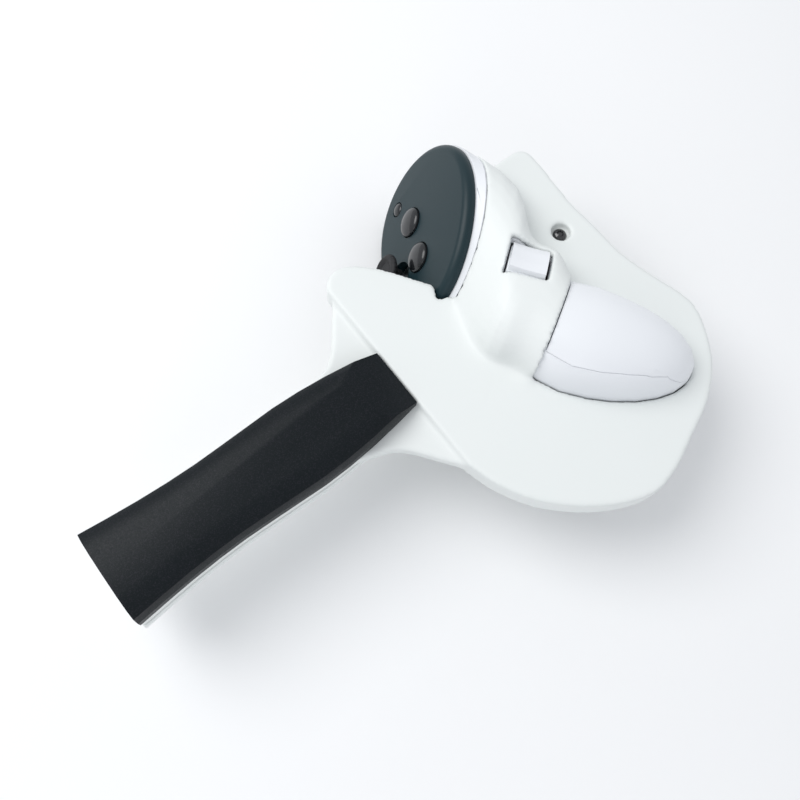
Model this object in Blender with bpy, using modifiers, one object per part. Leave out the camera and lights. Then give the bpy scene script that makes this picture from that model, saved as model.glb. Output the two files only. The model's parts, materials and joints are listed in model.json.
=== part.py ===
"""A motion controller clamped in a table-tennis-bat adapter.

The bat lies flat: X runs along its handle towards the blade, Z is up. The shapes are drawn in
millimetres in the bat frame, whose origin is the middle of the handle's blade end on the blade's
mid-plane. The empty named bat_frame carries them to metres, with the origin under the middle of
the whole object's box.
"""

import math

import bmesh
import bpy
from mathutils import Matrix, Vector

# ---------------------------------------------------------------- driving dimensions, millimetres
BOX_MIDDLE = (-4.02, -4.6)      # middle of the whole object's box in the bat frame
FLOOR = -32.0                   # what the cradle's foot stands on
GAP = 0.3                       # left between parts that touch

HANDLE_LENGTH = 105.0
HANDLE_WAIST = 13.5             # half-widths of the handle
HANDLE_BULGE = 14.3
HANDLE_BUTT = 16.0
HANDLE_TIP = 10.4
HANDLE_HALF_DEPTH = 12.3
CORE = 2.25                     # half thickness of the neck and tang
PAD = 4.55                      # half thickness of the blade

FACE_POINT = Vector((29.8, 17.5, 2.7))           # where the face plane meets the blade's notch
FACE_NORMAL = Vector((-0.68, 0.53, 0.50)).normalized()
FACE_TAIL = Vector((-0.62, -0.78, -0.01))        # along the face, towards its tail
FACE_CENTRE = (-28.0, -9.0)                      # along tail and side directions, from FACE_POINT
FACE_LENGTH = 65.0
FACE_WIDTH = 54.5
FACE_TAPER = 0.12
FACE_TURN = math.radians(8.2)
FACE_THICK = 4.0
BUTTON_A = (-34.0, -15.0)                        # places on the face
BUTTON_B = (-17.6, -10.0)
STICK = (-15.0, -21.6)
MENU_BUTTON = (-44.0, -24.0)
BUTTON_RADIUS = 5.4
STICK_RADIUS = 6.5
STICK_HEIGHT = 7.4

HANDLE_AXIS = Vector((0.51, -0.86, 0.0)).normalized()    # along the controller's grip
GRIP_Z = 5.25                                            # height of the grip's axis
SLEEVE_END = 40.4                                        # along the grip
GRIP_END = 88.0
SLEEVE_WALL = 2.6
SHELL_WALL = 1.8

BATTERY_RADIUS = 7.1
BATTERY_LENGTH = 50.0

# ---------------------------------------------------------------- frames
tail_dir = (FACE_TAIL - FACE_NORMAL * FACE_TAIL.dot(FACE_NORMAL)).normalized()
side_dir = FACE_NORMAL.cross(tail_dir)
if side_dir.z < 0:
    side_dir = -side_dir
UP = Vector((0, 0, 1))
front_dir = UP.cross(HANDLE_AXIS)                        # across the grip, away from the palm


def on_face(place, height=0.0):
    """A point of the bat frame from a place on the face and a height above it."""
    return FACE_POINT + tail_dir * place[0] + side_dir * place[1] + FACE_NORMAL * height


def on_grip(along, across, z):
    return HANDLE_AXIS * along + front_dir * across + UP * z


def face_matrix(place, height=0.0):
    """Local Z along the face's normal, local X along its side direction."""
    turn = Matrix((side_dir, FACE_NORMAL.cross(side_dir), FACE_NORMAL)).transposed()
    return Matrix.Translation(on_face(place, height)) @ turn.to_4x4()


def axis_matrix(origin, axis, toward=None):
    """Local Z along an axis."""
    z = axis.normalized()
    helper = toward if toward is not None else (UP if abs(z.z) < 0.9 else Vector((1, 0, 0)))
    x = (helper - z * helper.dot(z)).normalized()
    turn = Matrix((x, z.cross(x), z)).transposed()
    return Matrix.Translation(origin) @ turn.to_4x4()


# ---------------------------------------------------------------- scene and materials
for old in list(bpy.data.objects):
    bpy.data.objects.remove(old, do_unlink=True)

parts = bpy.data.collections.new("vr_motion_controller")
cutters = bpy.data.collections.new("cutters")
bpy.context.scene.collection.children.link(parts)
bpy.context.scene.collection.children.link(cutters)
cutters.hide_render = True

bat = bpy.data.objects.new("bat_frame", None)
parts.objects.link(bat)
bat.scale = (0.001, 0.001, 0.001)
bat.location = (-BOX_MIDDLE[0] / 1000, -BOX_MIDDLE[1] / 1000, -FLOOR / 1000)

FINISHES = {
    "white": ((0.88, 0.89, 0.88, 1), 0.45, 0.0),
    "shell": ((0.80, 0.81, 0.83, 1), 0.38, 0.0),
    "black": ((0.045, 0.048, 0.055, 1), 0.55, 0.0),
    "slate": ((0.05, 0.065, 0.075, 1), 0.5, 0.0),
    "glossy": ((0.02, 0.02, 0.022, 1), 0.12, 0.0),
    "steel": ((0.6, 0.6, 0.62, 1), 0.3, 1.0),
    "board": ((0.03, 0.18, 0.09, 1), 0.5, 0.0),
    "battery": ((0.12, 0.2, 0.35, 1), 0.35, 0.2),
}


def material(name, finish):
    colour, roughness, metallic = FINISHES[finish]
    made = bpy.data.materials.new(name)
    made.use_nodes = True
    shader = made.node_tree.nodes["Principled BSDF"]
    shader.inputs["Base Color"].default_value = colour
    shader.inputs["Roughness"].default_value = roughness
    shader.inputs["Metallic"].default_value = metallic
    return made


def add(name, mesh, finish=None, matrix=None, parent=None):
    """Puts a mesh in the scene: a part when it has a finish, else a cutter."""
    made = bpy.data.objects.new(name, mesh)
    (parts if finish else cutters).objects.link(made)
    made.parent = parent or bat
    if matrix is not None:
        made.matrix_local = matrix
    if finish:
        mesh.materials.append(material(name, finish))
        mesh.set_sharp_from_angle(angle=math.radians(35))
    else:
        made.hide_render = True
        made.display_type = "WIRE"
    return made


def mesh_of(bm, name):
    bmesh.ops.recalc_face_normals(bm, faces=bm.faces)
    mesh = bpy.data.meshes.new(name)
    bm.to_mesh(mesh)
    bm.free()
    mesh.shade_smooth()
    return mesh


def boolean(obj, other, operation="DIFFERENCE", solver="EXACT"):
    made = obj.modifiers.new(operation.lower(), "BOOLEAN")
    made.operation = operation
    made.solver = solver
    made.object = other
    return made


def bevel(obj, width, segments=2, angle=40):
    made = obj.modifiers.new("edges", "BEVEL")
    made.width = width
    made.segments = segments
    made.limit_method = "ANGLE"
    made.angle_limit = math.radians(angle)
    made.use_clamp_overlap = True


# ---------------------------------------------------------------- shape makers
def cylinder(name, radius, low, high, sides=24, top_radius=None):
    """Along local Z, from low to high."""
    bm = bmesh.new()
    bmesh.ops.create_cone(bm, cap_ends=True, segments=sides, radius1=radius,
                          radius2=radius if top_radius is None else top_radius,
                          depth=high - low, matrix=Matrix.Translation((0, 0, (low + high) / 2)))
    return mesh_of(bm, name)


def box(name, low, high):
    bm = bmesh.new()
    low, high = Vector(low), Vector(high)
    size = high - low
    bmesh.ops.create_cube(bm, size=1, matrix=Matrix.Translation((low + high) / 2)
                          @ Matrix.Diagonal((size.x, size.y, size.z, 1)))
    return mesh_of(bm, name)


def turned(name, profile, sides=24):
    """A profile of (radius, z) pairs turned about local Z; it starts and ends on the axis."""
    bm = bmesh.new()
    verts = [bm.verts.new((r, 0, z)) for r, z in profile]
    edges = [bm.edges.new(pair) for pair in zip(verts, verts[1:])]
    bmesh.ops.spin(bm, geom=verts + edges, cent=(0, 0, 0), axis=(0, 0, 1),
                   angle=2 * math.pi, steps=sides, use_merge=True)
    bmesh.ops.remove_doubles(bm, verts=bm.verts, dist=1e-4)
    return mesh_of(bm, name)


def prism(name, outline, low, high):
    """A flat outline carried from one height to another."""
    bm = bmesh.new()
    face = bm.faces.new([bm.verts.new((x, y, low)) for x, y in outline])
    moved = bmesh.ops.extrude_face_region(bm, geom=[face])["geom"]
    bmesh.ops.translate(bm, vec=(0, 0, high - low),
                        verts=[v for v in moved if isinstance(v, bmesh.types.BMVert)])
    return mesh_of(bm, name)


def loft(name, rings, closed=False):
    """Skins rings of equal count; closed joins the last ring to the first instead of capping."""
    bm = bmesh.new()
    rows = [[bm.verts.new(point) for point in ring] for ring in rings]
    if closed:
        rows.append(rows[0])
    for near, far in zip(rows, rows[1:]):
        for i in range(len(near)):
            j = (i + 1) % len(near)
            bm.faces.new((near[i], near[j], far[j], far[i]))
    if not closed:
        bm.faces.new(rows[0])
        bm.faces.new(rows[-1])
    bmesh.ops.triangulate(bm, faces=[f for f in bm.faces if len(f.verts) > 4])
    return mesh_of(bm, name)


def coil(name, radius, wire, turns, length, finish, matrix, parent=None):
    """A compression spring along local Z, from 0 to length."""
    curve = bpy.data.curves.new(name, "CURVE")
    curve.dimensions = "3D"
    per_turn = 8
    count = int(turns * per_turn) + 1
    line = curve.splines.new("POLY")
    line.points.add(count - 1)
    for i, point in enumerate(line.points):
        angle = 2 * math.pi * i / per_turn
        rise = wire + (length - 2 * wire) * i / (count - 1)
        point.co = (radius * math.cos(angle), radius * math.sin(angle), rise, 1)
    curve.bevel_depth = wire
    curve.bevel_resolution = 0
    curve.use_fill_caps = True
    made = bpy.data.objects.new(name, curve)
    parts.objects.link(made)
    made.parent = parent or bat
    made.matrix_local = matrix
    curve.materials.append(material(name, finish))
    return made


# ---------------------------------------------------------------- the controller's master surface
RING = 36
FACE_HALF = FACE_LENGTH / 2
FACE_BREADTH = FACE_WIDTH / 2
turn = Matrix.Rotation(FACE_TURN, 3, FACE_NORMAL)
if (turn @ tail_dir).dot(side_dir) < 0:
    turn = turn.inverted()
egg_tail = turn @ tail_dir
egg_side = turn @ side_dir

# Each key section: centre, front direction, side direction, half length, half width, taper, squareness
KEYS = [
    (on_face(FACE_CENTRE, -FACE_THICK), -egg_tail, egg_side, FACE_HALF + 1.2, FACE_BREADTH + 1.2,
     FACE_TAPER, 2.0),
    (on_grip(9.5, 54.0, -4.5), front_dir, on_grip(0.22, 0.08, 0.96), 28.0, 26.0, 0.04, 2.1),
    (on_grip(24.0, 40.2, 4.2), front_dir, UP, 22.0, 18.0, 0.0, 2.4),
    (on_grip(33.0, 39.5, 4.8), front_dir, UP, 21.0, 17.6, 0.0, 2.5),
    (on_grip(SLEEVE_END, 34.7, GRIP_Z), front_dir, UP, 18.4, 17.0, 0.0, 2.3),
]
SLEEVE_V = len(KEYS) - 1        # the sleeve's end


def between(values, v):
    """Smooth values through the key sections, at v counted in sections."""
    i = min(int(v), len(values) - 2)
    f = v - i
    b, c = values[i], values[i + 1]
    a = values[i - 1] if i else b + (b - c)
    d = values[i + 2] if i + 2 < len(values) else c + (c - b)
    return 0.5 * (2 * b + (c - a) * f + (2 * a - 5 * b + 4 * c - d) * f ** 2
                  + (3 * b - a - 3 * c + d) * f ** 3)


def section(centre, front, side, length, breadth, taper, square):
    ring = []
    for i in range(RING):
        angle = 2 * math.pi * i / RING
        c, s = math.cos(angle), math.sin(angle)
        x = math.copysign(abs(c) ** (2 / square), c)
        y = math.copysign(abs(s) ** (2 / square), s) * (1 + taper * c)
        ring.append(centre + front * x * length + side * y * breadth)
    return ring


def body_ring(v, inset=0.0):
    """The master section at v, from the face's rim (0) to the sleeve's end (SLEEVE_V)."""
    centre, front, side, length, breadth, taper, square = (
        between([key[k] for key in KEYS], v) for k in range(7))
    return section(centre, front.normalized(), side.normalized(), length - inset,
                   breadth - inset, taper, square)


def butt_ring(f, inset=0.0):
    """The grip past the sleeve, from its widest section (0) to its rounded end (1)."""
    start = SLEEVE_END
    bulge = 6.0
    along = start + f * (GRIP_END - inset - start)
    past = max(0.0, (along - start - bulge) / (GRIP_END - inset - start - bulge))
    centre = on_grip(along, 34.7 + 4.0 * past ** 1.5, GRIP_Z - 1.2 * past)
    length = (18.4 - inset) * max(0.0, 1 - past ** 2.1) ** 0.5
    breadth = (17.0 - inset) * max(0.0, 1 - past ** 3.0) ** 0.45
    return section(centre, front_dir, UP, max(length, 0.4), max(breadth, 0.4), 0, 2.3)


def steps(first, last, count):
    return [first + (last - first) * i / (count - 1) for i in range(count)]


HEAD_START = 0.30               # where the sleeve begins behind the face
RIM_BACK = HEAD_START - 0.03    # where the rim that carries the face meets the shell
BODY_STEPS = [0, RIM_BACK, RIM_BACK + 0.015, HEAD_START + 0.04] + steps(0.6, SLEEVE_V, 10)
BUTT_STEPS = [math.sin(a) for a in steps(0.0, math.pi / 2, 9)]


def grip_inset(v):
    """How far the controller lies inside the master surface: little at its rim, then a wall."""
    if v < HEAD_START:
        return 0.5
    thinning = max(0.0, v - SLEEVE_V + 0.5) / 0.5
    return SLEEVE_WALL - 1.4 * thinning


def controller_rings(more):
    """The controller's outside, drawn in by more, from the head's mouth to the end of the grip."""
    body = [body_ring(v, grip_inset(v) + more) for v in BODY_STEPS]
    return body + [butt_ring(f, more) for f in BUTT_STEPS[1:]]


# ---------------------------------------------------------------- blade
PAD_EDGE = [(0.4, -36), (4, -47), (11, -58.5), (21, -68), (31.5, -74.5), (42, -77.8), (53, -75.8),
            (64.5, -71), (76, -66), (86, -58.5), (92.3, -50), (96.4, -41), (96.6, -33), (93, -21),
            (90.3, -9), (89.8, 4), (89.5, 18), (90.6, 31), (91, 39), (89.3, 42.8), (85, 43.8),
            (72, 42.9), (60, 38), (46, 29), (34, 19), (27.5, 10.8)]
PAD_TIP = [(30.2, 19.4), (19.2, 35), (10.8, 42.2), (4.6, 42.4), (0.8, 39), (0.4, 34)]
NECK_OUTLINE = [(2, -38), (-5, -28.8), (-10.5, -21.5), (-15.5, -17.3), (-22, -14.4), (-30, -14.2)]


def smooth_line(points, count):
    """A smooth open curve through flat points, with count steps between each two."""
    keys = [Vector(point) for point in points]
    return [tuple(between(keys, i / count)) for i in range(count * (len(keys) - 1) + 1)]


def handle_half(x):
    """Half-width of the handle at x, flared at the butt and waisted before the bulge."""
    f = -x / HANDLE_LENGTH
    keys = [HANDLE_TIP, 13.1, HANDLE_BULGE + 0.1, HANDLE_BULGE - 0.4, HANDLE_WAIST, 14.3, HANDLE_BUTT]
    return between(keys, f * (len(keys) - 1) - 1e-9) if f > 0 else HANDLE_TIP


def tang_outline():
    """The tang's half-outline, just inside the scales."""
    return [(x, handle_half(x) - 0.25) for x in steps(-26, -HANDLE_LENGTH, 12)]


def blade_core():
    """The neck and tang, from edge to edge."""
    right = smooth_line(NECK_OUTLINE, 2)[:-4]
    tang = tang_outline()
    lower = right + [(x, -y) for x, y in tang]
    upper = [(x, y) for x, y in reversed(tang)] + [(x, -y * 0.98) for x, y in reversed(right)]
    return prism("core", lower + upper, -CORE, CORE)


pad_outline = smooth_line(PAD_EDGE, 3) + smooth_line(PAD_TIP, 3)
blade = add("bat_blade", prism("bat_blade", pad_outline, -PAD, PAD), "white")
core = add("core_shape", blade_core())
boolean(blade, core, "UNION")
shroud_rings = [body_ring(v) for v in steps(HEAD_START, SLEEVE_V, 12)]
shroud = add("shroud_shape", loft("shroud_shape", shroud_rings))
above = add("shroud_above", box("shroud_above", (-20, -60, 0), (110, 90, 60)))
boolean(shroud, above, "INTERSECT")
boolean(blade, shroud, "UNION")

# Room for the controller, with a running gap round it, and for its face in front
ROOM = -0.4
room_rings = [[p + FACE_NORMAL * (FACE_THICK + 0.6) for p in body_ring(0, 0.5 + ROOM)]]
room_rings += controller_rings(ROOM)
room = add("controller_room", loft("controller_room", room_rings))
boolean(blade, room, solver="MANIFOLD")

# The grip button's window through the shroud
WINDOW_POINT = on_grip(25.5, 48.4, 20.6)
WINDOW_NORMAL = (front_dir * 0.3 + UP * 0.954).normalized()
WINDOW_HALF = (7.3, 6.9)
window_place = axis_matrix(WINDOW_POINT, WINDOW_NORMAL, HANDLE_AXIS + front_dir * 0.12)
window = add("grip_window", box("grip_window", (-WINDOW_HALF[0], -WINDOW_HALF[1], -9),
                                (WINDOW_HALF[0], WINDOW_HALF[1], 12)), matrix=window_place)
boolean(blade, window, solver="MANIFOLD")

# The cover screw's counterbore and shank hole
COVER_SCREW = (78.9, 9.4)
SCREW_HEAD = 2.6
SCREW_SHANK = 1.4
counterbore = add("cover_counterbore", turned("cover_counterbore", [
    (0, 8), (3.45, 8), (3.45, 1.6), (SCREW_SHANK + 0.15, 1.6), (SCREW_SHANK + 0.15, -9), (0, -9)]),
    matrix=Matrix.Translation((*COVER_SCREW, 0)))
boolean(blade, counterbore, solver="MANIFOLD")

# ---------------------------------------------------------------- handle scales
GRIP_SCREWS = (-84.0, -32.0)
SCALE_STATIONS = steps(-HANDLE_LENGTH, 0, 12)


def scale_section(x, sign):
    """A domed half-section: straight sides, round shoulders and a crowned top."""
    half = handle_half(x)
    low, top = CORE + GAP / 2, HANDLE_HALF_DEPTH
    side = low + (top - low) * 0.34
    points = [(-half, low), (-half, side)]
    for i in range(1, 8):
        angle = math.pi * (1 - i / 8)
        c, s = math.cos(angle), math.sin(angle)
        points.append((half * math.copysign(abs(c) ** 0.78, c), side + (top - side) * s ** 0.62))
    points += [(half, side), (half, low)]
    return [Vector((x, y, sign * z)) for y, z in points]


def scale(name, finish, sign):
    made = add(name, loft(name, [scale_section(x, sign) for x in SCALE_STATIONS]), finish)
    return made


upper_scale = scale("grip_scale_upper", "black", 1)
lower_scale = scale("grip_scale_lower", "white", -1)
for number, obj, sign in ((1, upper_scale, 1), (2, lower_scale, -1)):
    slope = Matrix.Translation((0, 0, sign * 5.4)) @ Matrix.Rotation(sign * math.radians(25), 4, "Y")
    low, high = ((-26, -30, 0), (6, 30, 20)) if sign > 0 else ((-26, -30, -20), (6, 30, 0))
    chamfer = add(f"scale_chamfer_{number}", box(f"scale_chamfer_{number}", low, high), matrix=slope)
    boolean(obj, chamfer)

for number, x in enumerate(GRIP_SCREWS, 1):
    place = Matrix.Translation((x, 0, 0))
    clear = turned(f"grip_screw_hole_{number}", [
        (0, 9.4), (SCREW_SHANK + 0.15, 9.4), (SCREW_SHANK + 0.15, -9.0),
        (3.3, -9.0), (3.3, -14), (0, -14)], 20)
    hole = add(f"grip_screw_hole_{number}", clear, matrix=place)
    boolean(blade, hole, solver="MANIFOLD")
    for obj in (upper_scale, lower_scale):
        boolean(obj, hole)


def screw(name, head_radius, head_height, reach, matrix, finish):
    """A pan head screw: the head's underside is at local 0 and the shank runs down."""
    profile = [(0, head_height)]
    profile += [(head_radius * math.sin(a), head_height * (0.35 + 0.65 * math.cos(a)))
                for a in steps(0.3, math.pi / 2, 5)]
    profile += [(head_radius, 0), (SCREW_SHANK, 0), (SCREW_SHANK, 1 - reach), (0.5, -reach), (0, -reach)]
    made = add(name, turned(name, profile, 14), finish, matrix)
    socket = cylinder(name + "_socket", 0.9, head_height - 1.0, head_height + 1, 6)
    boolean(made, add(name + "_socket", socket, matrix=matrix))
    return made


for number, x in enumerate(GRIP_SCREWS, 1):
    flip = Matrix.Translation((x, 0, -9.0 - GAP / 3)) @ Matrix.Rotation(math.pi, 4, "X")
    screw(f"grip_screw_{number}", 2.7, 1.9, 17.6, flip, "steel")
screw("cover_screw_top", SCREW_HEAD, 1.7, 10.0,
      Matrix.Translation((*COVER_SCREW, 1.6 + GAP / 3)), "glossy")

# ---------------------------------------------------------------- cradle under the blade
FLANGE_TOP = -PAD - GAP
FLANGE = 3.6
CRADLE_ALONG = (9.5, 43.0)


def across_box(name, along, across, low, high, radius=3.0):
    """An upright block with round corners, square to the grip's axis."""
    outline = []
    for quarter in range(4):
        side_along = 1 if quarter in (0, 3) else 0
        side_across = 1 if quarter in (0, 1) else 0
        corner = (along[side_along] - radius * (2 * side_along - 1),
                  across[side_across] - radius * (2 * side_across - 1))
        for a in steps(quarter * math.pi / 2, (quarter + 1) * math.pi / 2, 5):
            point = on_grip(corner[0] + radius * math.cos(a), corner[1] + radius * math.sin(a), 0)
            outline.append((point.x, point.y))
    return prism(name, outline, low, high)


cradle = add("bat_cradle", across_box("bat_cradle", CRADLE_ALONG, (13.5, 58), FLOOR, FLANGE_TOP), "white")
ear = add("cradle_ear", across_box("cradle_ear", (22, CRADLE_ALONG[1]), (50, 78),
                                   FLANGE_TOP - FLANGE, FLANGE_TOP))
boolean(cradle, ear, "UNION")
PALM_SCREW = on_grip(25.0, 7.0, 0.0)
palm_ear = add("cradle_palm_ear", across_box("cradle_palm_ear", (14, 36), (0, 16),
                                             FLANGE_TOP - FLANGE, FLANGE_TOP))
boolean(cradle, palm_ear, "UNION")
boolean(cradle, room)
EAR_HOLE = cylinder("cradle_ear_hole", SCREW_SHANK + 0.15, -12, 0, 20)
boolean(cradle, add("cradle_ear_hole", EAR_HOLE, matrix=Matrix.Translation((*COVER_SCREW, 0))))
palm_hole = cylinder("palm_hole", SCREW_SHANK + 0.15, -20, 1.2, 20)
palm_hole = add("palm_hole", palm_hole, matrix=Matrix.Translation(PALM_SCREW))
boolean(cradle, palm_hole)
boolean(blade, palm_hole, solver="MANIFOLD")
screw("cradle_screw", SCREW_HEAD, 1.7, 8.6,
      Matrix.Translation(PALM_SCREW + UP * (FLANGE_TOP - FLANGE - GAP / 3))
      @ Matrix.Rotation(math.pi, 4, "X"), "steel")

# ---------------------------------------------------------------- controller shells
def shell_rings():
    """A cup: the inside from the grip's end up to the mouth, then the outside back down."""
    stations = [v for v in BODY_STEPS if v > RIM_BACK]
    outside = [body_ring(v, grip_inset(v)) for v in stations] + [butt_ring(f) for f in BUTT_STEPS[1:]]
    inside = [body_ring(v, grip_inset(v) + SHELL_WALL) for v in stations]
    inside += [butt_ring(f, SHELL_WALL) for f in BUTT_STEPS[1:]]
    return inside[::-1] + outside


SEAM = [(16.6, 0), (16.6, 66), (16.0, 72), (14.2, 79), (9.5, 84.5), (6.0, 88.2), (6.0, 95)]


def seam_cutter(name, lift, first):
    """Everything over the battery door's edge, from first along the grip onwards."""
    outline = [(60, first)] + [(z + lift, max(along, first)) for z, along in SEAM] + [(60, 95)]
    place = Matrix((UP, HANDLE_AXIS, front_dir)).transposed().to_4x4()
    return add(name, prism(name, outline, -20, 90), matrix=place)


handle_shell = add("grip_shell", loft("grip_shell", shell_rings()), "shell")
DOOR_START = SLEEVE_END + GAP
boolean(handle_shell, seam_cutter("door_room", -GAP / 2, DOOR_START - GAP), solver="MANIFOLD")
battery_door = add("battery_door", loft("battery_door", shell_rings()), "shell")
boolean(battery_door, seam_cutter("door_shape", GAP / 2, DOOR_START), "INTERSECT", "MANIFOLD")

grip_opening = box("grip_opening", (-6.9, -6.9, -12), (7.3, 6.9, 12))
boolean(handle_shell, add("grip_opening", grip_opening, matrix=window_place), solver="MANIFOLD")

# The rim that carries the face: a ring whose inner edge seats the face plate
RIM_STEPS = [0, RIM_BACK]
rim_outside = [body_ring(v, 0.5) for v in RIM_STEPS]
rim_inside = [body_ring(v, 2.7) for v in RIM_STEPS]
head_rim = add("head_rim", loft("head_rim", rim_outside + rim_inside[::-1], closed=True), "shell")

# Trigger: a curved lever that swings in through the front of the head
TRIGGER_WIDTH = 12.6
trigger_place = axis_matrix(on_grip(-12.0, 77.0, -6.0) - egg_side * 2.5, egg_side, HANDLE_AXIS)
gate_half = TRIGGER_WIDTH / 2 + 0.4
trigger_gate = add("trigger_gate", box("trigger_gate", (0.4, -9, -gate_half), (25.4, 40, gate_half)),
                   matrix=trigger_place)
boolean(handle_shell, trigger_gate, solver="MANIFOLD")
LEVER_EYE = 2.8
lever_outline = [(LEVER_EYE * math.cos(a), LEVER_EYE * math.sin(a))
                 for a in steps(math.radians(120), math.radians(300), 7)]
lever_outline += [(9, 0.8), (16, 1.4), (21, 2.0), (23.4, 3.4), (23.6, 5.2), (22.4, 6.4), (19, 6.9),
                  (15.5, 6.6),
                  (12, 7.0), (8.5, 7.9), (5.5, 8.7), (3.0, 8.9), (1.2, 8.0)]
trigger = add("trigger", prism("trigger", lever_outline, -TRIGGER_WIDTH / 2, TRIGGER_WIDTH / 2), "shell",
              trigger_place)
bevel(trigger, 1.3, 2, 50)

def pin(name, radius, half, matrix, finish="steel"):
    return add(name, cylinder(name, radius, -half, half, 16), finish, matrix)


def bore(obj, name, radius, half, matrix):
    """Drills a hole along local Z."""
    drill = add(name, cylinder(name, radius, -half, half, 16), matrix=matrix)
    boolean(obj, drill, solver="MANIFOLD")


PIN_RADIUS = 0.75
EYE_GAP = 0.25
SLOT_HALF = 2.4
trigger_slot = add("trigger_slot", box("trigger_slot", (-4, -4, -SLOT_HALF), (3.3, 4.4, SLOT_HALF)),
                   matrix=trigger_place)
boolean(trigger, trigger_slot, solver="MANIFOLD")
bore(trigger, "trigger_eye", PIN_RADIUS + EYE_GAP, 12, trigger_place)
pin("trigger_pin", PIN_RADIUS, 7.4, trigger_place)
coil("trigger_spring", 1.75, 0.32, 4, 2 * SLOT_HALF - 0.8, "steel",
     trigger_place @ Matrix.Translation((0, 0, 0.4 - SLOT_HALF)))

# Grip button: a creased block that rocks in the window on a pin at its head end
GRIP_PIN = (-8.6, 0.0, -10.8)                    # from the window's point
BLOCK_HALF = WINDOW_HALF[0] - 1.0
across_window = window_place @ Matrix(((0, 0, 1, 0), (1, 0, 0, 0), (0, 1, 0, 0), (0, 0, 0, 1)))
block_outline = [(-6.6, -6), (5.6, -6), (5.6, -2.0), (4.9, -0.6), (2.6, 0.9), (-0.8, 1.5), (-5.4, 0.5),
                 (-6.4, -0.4), (-6.6, -1.0)]
grip_button = add("grip_button", prism("grip_button", block_outline, -BLOCK_HALF, BLOCK_HALF), "shell",
                  across_window)
arm_outline = [(GRIP_PIN[0] + 2.2 * math.cos(a), GRIP_PIN[2] + 2.2 * math.sin(a))
               for a in steps(math.radians(110), math.radians(270), 7)]
arm_outline += [(-3.0, GRIP_PIN[2] - 0.8), (-1.0, -5.6), (-6.0, -5.7)]
along_window = window_place @ Matrix(((1, 0, 0, 0), (0, 0, -1, 0), (0, 1, 0, 0), (0, 0, 0, 1)))
arm = add("grip_button_arm", prism("grip_button_arm", arm_outline, -3.4, 3.4), matrix=along_window)
boolean(grip_button, arm, "UNION", "MANIFOLD")
grip_pin_place = along_window @ Matrix.Translation((GRIP_PIN[0], GRIP_PIN[2], 0))
arm_slot = add("grip_arm_slot", box("grip_arm_slot", (-3, -3.2, -1.9), (2.6, 3.2, 1.9)), matrix=grip_pin_place)
boolean(grip_button, arm_slot, solver="MANIFOLD")
bore(grip_button, "grip_eye", PIN_RADIUS + EYE_GAP, 6, grip_pin_place)
pin("grip_pin", PIN_RADIUS, 6.0, grip_pin_place)
coil("grip_spring", 1.6, 0.3, 3, 3.0, "steel", grip_pin_place @ Matrix.Translation((0, 0, -1.5)))
bracket = add("grip_bracket", box("grip_bracket", (-2.4, -4.6, -4.9), (14.0, 1.4, 4.9)), "shell", grip_pin_place)
bracket_room = add("bracket_room", box("bracket_room", (-9, -3.4, -3.9), (19, 9, 3.9)), matrix=grip_pin_place)
boolean(bracket, bracket_room, solver="MANIFOLD")
bracket_step = add("bracket_step", box("bracket_step", (2.4, -3.4, -9), (19, 9, 9)), matrix=grip_pin_place)
boolean(bracket, bracket_step, solver="MANIFOLD")
bore(bracket, "bracket_eye", PIN_RADIUS + EYE_GAP, 9, grip_pin_place)


# ---------------------------------------------------------------- the face and its controls
def egg(half_long, half_wide, height, centre=FACE_CENTRE):
    """The face's own outline, at a height above it."""
    middle = on_face(centre, height)
    return section(middle, -egg_tail, egg_side, half_long, half_wide, FACE_TAPER, 2.0)


face_rings = [egg(FACE_HALF - 0.9, FACE_BREADTH - 0.9, -FACE_THICK + GAP)]
for angle in steps(0, math.pi / 2, 5):
    inset = 3.0 * (1 - math.cos(angle))
    face_rings.append(egg(FACE_HALF - inset, FACE_BREADTH - inset, -2.8 + 2.8 * math.sin(angle)))
face_plate = add("face_plate", loft("face_plate", face_rings), "slate")

CONTROLS = (("button_a", BUTTON_A, BUTTON_RADIUS), ("button_b", BUTTON_B, BUTTON_RADIUS),
            ("button_menu", MENU_BUTTON, 2.6))
for name, place, radius in CONTROLS:
    hole = cylinder(name + "_hole", radius + 0.35, -9, 5, 22)
    boolean(face_plate, add(name + "_hole", hole, matrix=face_matrix(place)), solver="MANIFOLD")
well = cylinder("stick_well", 5.6, -9, 5, 22)
boolean(face_plate, add("stick_well", well, matrix=face_matrix(STICK)), solver="MANIFOLD")


def dome_button(name, place, radius, proud):
    """A domed cap with a flange that keeps it behind the face."""
    crown = [(radius * math.sin(a), proud - 1.2 + 1.2 * math.cos(a)) for a in steps(0, math.pi / 2, 6)]
    crown[0] = (0, proud)
    profile = crown + [(radius, -4.2), (radius + 1.1, -4.2), (radius + 1.1, -5.4), (0, -5.4)]
    return add(name, turned(name, profile, 22), "glossy", face_matrix(place))


for name, place, radius in CONTROLS:
    dome_button(name, place, radius, 2.2 if radius > 3 else 0.7)

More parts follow.
